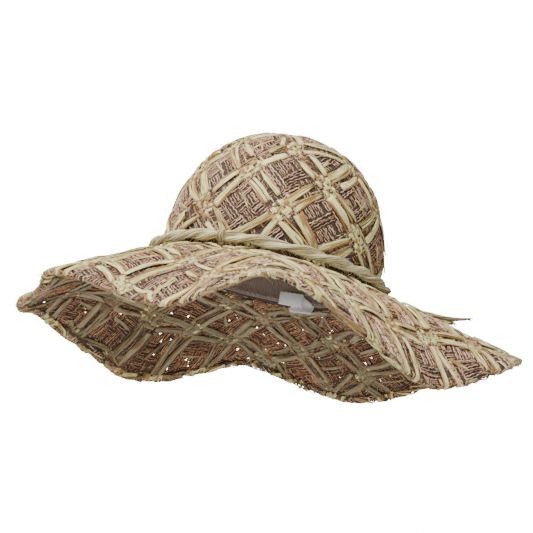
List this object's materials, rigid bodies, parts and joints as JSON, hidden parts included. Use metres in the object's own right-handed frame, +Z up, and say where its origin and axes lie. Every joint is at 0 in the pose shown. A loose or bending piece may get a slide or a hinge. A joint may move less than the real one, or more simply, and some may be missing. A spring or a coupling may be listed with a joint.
{
  "type": "straw sun hat",
  "caption": "Wide-brimmed woven straw sun hat with a round crown, a floppy wavy brim, a twisted rope band with loose tails, an inner sweatband and sewn-in labels.",
  "frame": {"origin": "centre of the head opening, level with the seam between crown and brim", "axes": "+Z up through the crown, -Y toward the front of the hat, +X to the right of a viewer who faces the front"},
  "size_m": [0.4105, 0.4455, 0.201],
  "materials": {
    "woven_straw": "matte woven straw, pale strips over pinkish tan threads",
    "raffia": "satin pale green straw strip with ochre streaks",
    "thread": "matte sewing thread",
    "sweatband_cloth": "matte fine ribbed cloth",
    "label_cloth": "soft satin cloth, blank"
  },
  "bodies": {
    "hat": {"crown_shell": "woven_straw", "brim_sheet": "woven_straw", "brim_edge_roll": "raffia", "brim_hem_thread": "thread", "hatband_strand_a": "raffia", "hatband_strand_b": "raffia", "hatband_knot": "raffia", "hatband_keeper_1": "raffia", "hatband_keeper_2": "raffia", "hatband_keeper_3": "raffia", "hatband_tail_a": "raffia", "hatband_tail_b": "raffia", "sweatband": "sweatband_cloth", "sweatband_lower_thread": "thread", "sweatband_upper_thread": "thread", "label_stitch": "thread"},
    "brand_label": {"brand_label": "label_cloth"},
    "care_label": {"care_label": "label_cloth"}
  },
  "joints": [
    {"name": "care_label_lift", "type": "hinge", "parent": "hat", "child": "care_label", "pos_m": [0.02335, 0.09126, 0.00883], "axis": [-0.9469, 0.3215, 0], "range_deg": [0, 100]},
    {"name": "brand_label_lift", "type": "hinge", "parent": "care_label", "child": "brand_label", "pos_m": [0.02335, 0.09126, 0.00883], "axis": [-0.9469, 0.3215, 0], "range_deg": [0, 40]}
  ]
}
